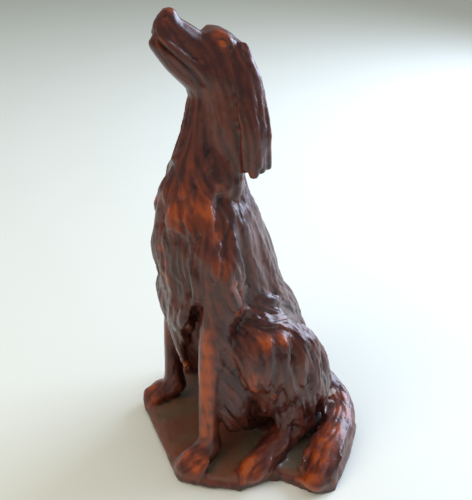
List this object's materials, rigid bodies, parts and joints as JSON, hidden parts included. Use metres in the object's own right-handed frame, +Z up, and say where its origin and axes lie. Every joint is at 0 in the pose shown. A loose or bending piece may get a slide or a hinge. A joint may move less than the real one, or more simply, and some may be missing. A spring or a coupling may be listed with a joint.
{
  "type": "seated dog figure",
  "caption": "Seated long-haired dog looking up, carved in one with its uneven slab, with hanging ears, feathered legs and a tail curled round one side.",
  "frame": {"origin": "on the flat underside of the slab, in the dog's plane of symmetry, under the belly", "axes": "+X to the dog's left, +Y to its back, +Z up to the tip of the nose"},
  "size_m": [0.1566, 0.1307, 0.28],
  "materials": {
    "wood": "glossy reddish-brown stain, nearly black in the recesses and rubbed to rust-orange on the high places, with dull olive grime on the slab"
  },
  "bodies": {
    "root": {"dog_figure": "wood"}
  },
  "joints": []
}
